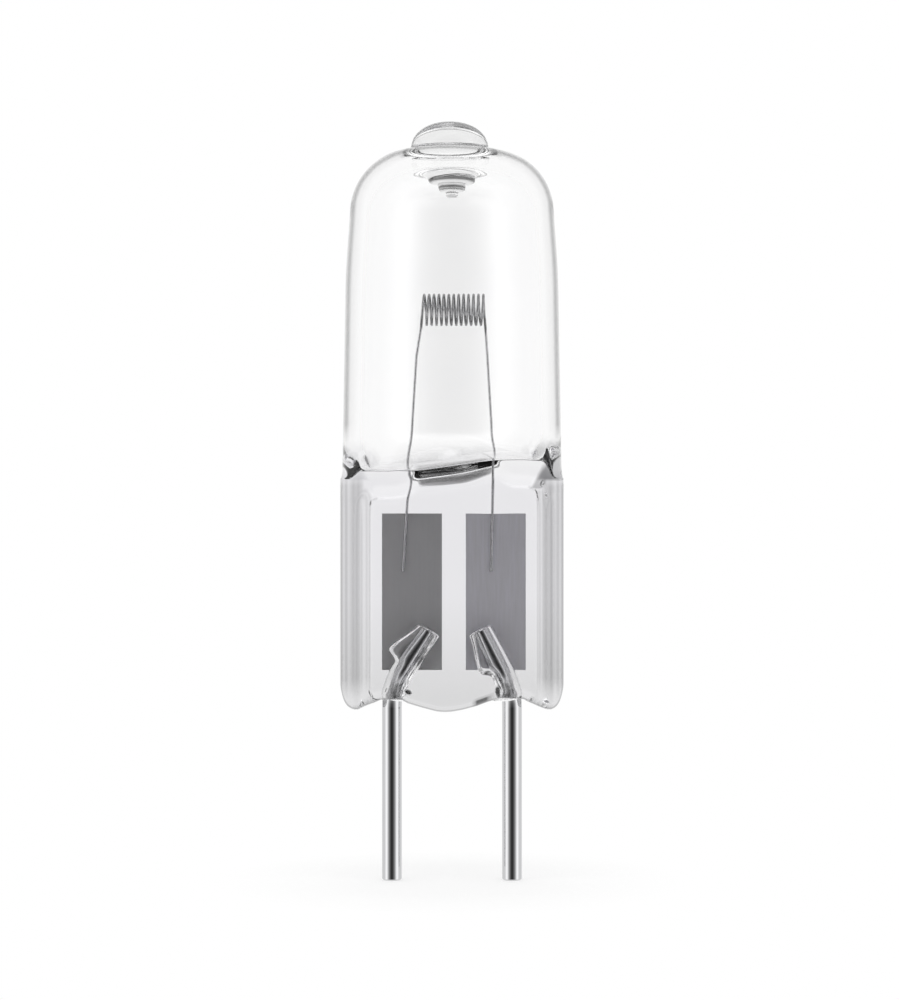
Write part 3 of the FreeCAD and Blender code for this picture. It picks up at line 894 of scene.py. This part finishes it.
class LampSizes(bpy.types.PropertyGroup):
    """Sizes of the quartz, kept in metres."""

    pinch_width: bpy.props.FloatProperty(
        name="Pinch width", description="Across the pressed seal",
        default=11.74 * MM, unit="LENGTH")
    rail_thickness: bpy.props.FloatProperty(
        name="Rail thickness", description="Depth of the seal at its rails",
        default=3.9 * MM, unit="LENGTH")
    rail_width: bpy.props.FloatProperty(
        name="Rail width", description="Width of each rail",
        default=1.05 * MM, unit="LENGTH")
    rail_corner: bpy.props.FloatProperty(
        name="Rail corner", description="Rounding of the rails' outer corners",
        default=1.1 * MM, unit="LENGTH")
    web_thickness: bpy.props.FloatProperty(
        name="Web thickness", description="Depth between the pressed fields",
        default=3.0 * MM, unit="LENGTH")
    field_corner: bpy.props.FloatProperty(
        name="Field corner", description="Rounding of the field's upper corners",
        default=0.9 * MM, unit="LENGTH")
    field_gap: bpy.props.FloatProperty(
        name="Field gap", description="From the field's upper slope up to the opening",
        default=1.15 * MM, unit="LENGTH")
    field_run: bpy.props.FloatProperty(
        name="Field run", description="Width over which the field's edge slopes",
        default=1.0 * MM, unit="LENGTH")
    lower_round: bpy.props.FloatProperty(
        name="Lower rounding", description="Height over which the lower edge is rounded",
        default=0.45 * MM, unit="LENGTH")
    side_opening: bpy.props.FloatProperty(
        name="Side opening", description="Height where the tube opens at the seal's sides",
        default=21.2 * MM, unit="LENGTH")
    foot_level: bpy.props.FloatProperty(
        name="Foot level", description="Height from which the gas space's foot rises",
        default=21.5 * MM, unit="LENGTH")
    foot_half_width: bpy.props.FloatProperty(
        name="Foot half width", description="Half the width of the gas space's foot",
        default=4.4 * MM, unit="LENGTH")
    foot_floor: bpy.props.FloatProperty(
        name="Foot floor", description="From the opening outside up to the foot",
        default=0.1 * MM, unit="LENGTH")
    thick_floor: bpy.props.FloatProperty(
        name="Thick floor", description="What the thick quartz adds to the foot's floor",
        default=0.18 * MM, unit="LENGTH")
    tube_level: bpy.props.FloatProperty(
        name="Tube level", description="Height where the tube is round again",
        default=23.8 * MM, unit="LENGTH")
    tube_radius: bpy.props.FloatProperty(
        name="Tube radius", description="Outer radius of the bulb below",
        default=5.76 * MM, unit="LENGTH")
    upper_radius: bpy.props.FloatProperty(
        name="Upper radius", description="Outer radius of the bulb below its shoulder",
        default=5.62 * MM, unit="LENGTH")
    wall: bpy.props.FloatProperty(
        name="Wall", description="Thickness of the bulb's wall",
        default=0.95 * MM, unit="LENGTH")
    crown_level: bpy.props.FloatProperty(
        name="Crown level", description="Height of the crown round the tip",
        default=38.74 * MM, unit="LENGTH")
    lamp_top: bpy.props.FloatProperty(
        name="Lamp top", description="Height of the tip's top",
        default=40.06 * MM, unit="LENGTH")
    tip_radius: bpy.props.FloatProperty(
        name="Tip radius", description="Radius of the exhaust tip's root",
        default=2.05 * MM, unit="LENGTH")
    tip_shift: bpy.props.FloatProperty(
        name="Tip shift", description="From the lamp's axis to the tip, to the right",
        default=-0.12 * MM, unit="LENGTH")
    foil_foot: bpy.props.FloatProperty(
        name="Foil foot", description="Height from which the foils lie behind the pins",
        default=11.0 * MM, unit="LENGTH")
    pin_radius: bpy.props.FloatProperty(
        name="Pin radius", description="Radius of the contact pins",
        default=0.525 * MM, unit="LENGTH")
    capillary_gap: bpy.props.FloatProperty(
        name="Capillary gap", description="Mean gap between a pin and the quartz",
        default=0.12 * MM, unit="LENGTH")


def in_millimetres(sizes):
    """The lamp's sizes in millimetres, under the same names."""
    return SimpleNamespace(**{name: getattr(sizes, name) / MM for name in LampSizes.__annotations__})


class LampLooks(bpy.types.PropertyGroup):
    """Colours of quartz, metals and floor."""

    bulb_tint: bpy.props.FloatVectorProperty(
        name="Bulb tint", description="Tint of the clear bulb", subtype="COLOR", size=3,
        min=0, max=1, default=(0.957, 0.957, 0.957))
    pinch_tint: bpy.props.FloatVectorProperty(
        name="Pinch tint", description="Tint at the top of the pressed seal", subtype="COLOR",
        size=3, min=0, max=1, default=(0.855, 0.85, 0.872))
    foot_tint: bpy.props.FloatVectorProperty(
        name="Foot tint", description="Tint at the bottom of the pressed seal", subtype="COLOR",
        size=3, min=0, max=1, default=(0.72, 0.72, 0.725))
    tip_tint: bpy.props.FloatVectorProperty(
        name="Tip tint", description="Tint of the melted tip", subtype="COLOR", size=3,
        min=0, max=1, default=(0.84, 0.84, 0.84))
    # Painted shade: the dark tint of the small voids
    void_shade: bpy.props.FloatVectorProperty(
        name="Flaw", description="Tint of the dark film in small voids", subtype="COLOR", size=3,
        min=0, max=1, default=(0.1, 0.1, 0.1))
    tungsten: bpy.props.FloatVectorProperty(
        name="Tungsten", description="Colour of the filament", subtype="COLOR", size=3,
        min=0, max=1, default=(0.5, 0.5, 0.51))
    # Painted shade and painted light: both foils are the same molybdenum, the left one painted darker
    # and the right one lighter
    foil_left: bpy.props.FloatVectorProperty(
        name="Left foil", description="Colour of the left sealed foil", subtype="COLOR", size=3,
        min=0, max=1, default=(0.63, 0.628, 0.635))
    foil_right: bpy.props.FloatVectorProperty(
        name="Right foil", description="Colour of the right sealed foil", subtype="COLOR", size=3,
        min=0, max=1, default=(0.79, 0.785, 0.815))
    pin: bpy.props.FloatVectorProperty(
        name="Pin", description="Colour of the contact pins", subtype="COLOR", size=3,
        min=0, max=1, default=(0.58, 0.58, 0.59))
    floor_white: bpy.props.FloatProperty(
        name="Floor white", description="Share of plain white in the floor round the lamp",
        subtype="FACTOR", min=0, max=1, default=0.6)


# Operators

class LAMP_OT_quartz(bpy.types.Operator):
    """Builds the quartz envelope in place of its CAD node"""

    bl_idname = "lamp.quartz"
    bl_label = "Quartz envelope"

    def execute(self, context):
        sizes = in_millimetres(context.scene.lamp_sizes)
        looks = context.scene.lamp_looks
        surfaces = [(outer_skin(sizes), False, SKIN), (gas_space(sizes), True, INSIDE)]
        surfaces += [(pin_capillary(sizes, side), False, INSIDE) for side in (LEFT, RIGHT)]
        surfaces += [(bubble(*shape), True, FLAW) for shape in BUBBLES]
        piece = mesh_object(PIECE_NAME, surfaces)
        for material in (skin_material(looks), inside_material(), flaw_material(looks)):
            piece.data.materials.append(material)
        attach(piece, "root")
        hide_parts("envelope")
        return {"FINISHED"}


class LAMP_OT_metals(bpy.types.Operator):
    """Gives filament, foils and pins their metals"""

    bl_idname = "lamp.metals"
    bl_label = "Metals"

    def execute(self, context):
        looks = context.scene.lamp_looks
        dress("filament", metal_material(
            "tungsten", looks.tungsten, roughness=0.15, streaks=(6, 6, 6), depth=0.01,
            variation=0.15, painted_shade=FILAMENT_PAINTED_SHADE))
        pin = metal_material(
            "pin_metal", looks.pin, roughness=0.04, streaks=(12, 12, 0.6), depth=0.002,
            variation=0.03, painted_shade=PIN_PAINTED_SHADE, dull=0.03)
        # Painted shade and painted light: one molybdenum, darker on the left foil and lighter on the
        # right
        for side, colour in (("left", looks.foil_left), ("right", looks.foil_right)):
            dress("foil_" + side, metal_material(
                "molybdenum_" + side, colour, roughness=0.8, streaks=(9, 9, 0.5), depth=0.004,
                variation=0.08))
            dress("pin_" + side, pin)
        return {"FINISHED"}


class LAMP_OT_stage(bpy.types.Operator):
    """Sets floor, studio light and camera"""

    bl_idname = "lamp.stage"
    bl_label = "Stage"

    def execute(self, context):
        scene = context.scene
        half, front, back, low = 0.1, -0.1, 0.2, -0.00002
        mesh = bpy.data.meshes.new("floor")
        mesh.from_pydata([(-half, front, low), (half, front, low), (half, back, low),
                          (-half, back, low)], [], [(0, 1, 2, 3)])
        mesh.materials.append(floor_material(scene.lamp_looks))
        floor = bpy.data.objects.new("floor", mesh)
        scene.collection.objects.link(floor)
        scene.world = studio_world()
        camera = bpy.data.cameras.new("camera")
        camera.lens = 100
        camera.sensor_width = 36
        camera.clip_start = 0.001
        camera.clip_end = 10
        view = bpy.data.objects.new("camera", camera)
        view.location = (-0.00013, -0.1469, 0.02007)
        view.rotation_euler = (QUARTER_TURN, 0, 0)
        scene.collection.objects.link(view)
        scene.camera = view
        scene.view_settings.view_transform = "Standard"
        scene.cycles.max_bounces = 18
        scene.cycles.glossy_bounces = 8
        scene.cycles.transmission_bounces = 16
        return {"FINISHED"}


class LAMP_PT_panel(bpy.types.Panel):
    """Lamp in the 3D view's sidebar"""

    bl_label = "Capsule lamp"
    bl_idname = "LAMP_PT_panel"
    bl_space_type = "VIEW_3D"
    bl_region_type = "UI"
    bl_category = "Lamp"

    def draw(self, context):
        for operator in OPERATORS:
            self.layout.operator(operator.bl_idname)


OPERATORS = (LAMP_OT_quartz, LAMP_OT_metals, LAMP_OT_stage)
CLASSES = (LampSizes, LampLooks, *OPERATORS, LAMP_PT_panel)


def register():
    for cls in CLASSES:
        bpy.utils.register_class(cls)
    bpy.types.Scene.lamp_sizes = bpy.props.PointerProperty(type=LampSizes)
    bpy.types.Scene.lamp_looks = bpy.props.PointerProperty(type=LampLooks)


def unregister():
    del bpy.types.Scene.lamp_looks
    del bpy.types.Scene.lamp_sizes
    for cls in reversed(CLASSES):
        bpy.utils.unregister_class(cls)


def main():
    register()
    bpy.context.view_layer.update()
    bpy.ops.lamp.quartz()
    bpy.ops.lamp.metals()
    bpy.ops.lamp.stage()


if __name__ == "__main__":
    main()
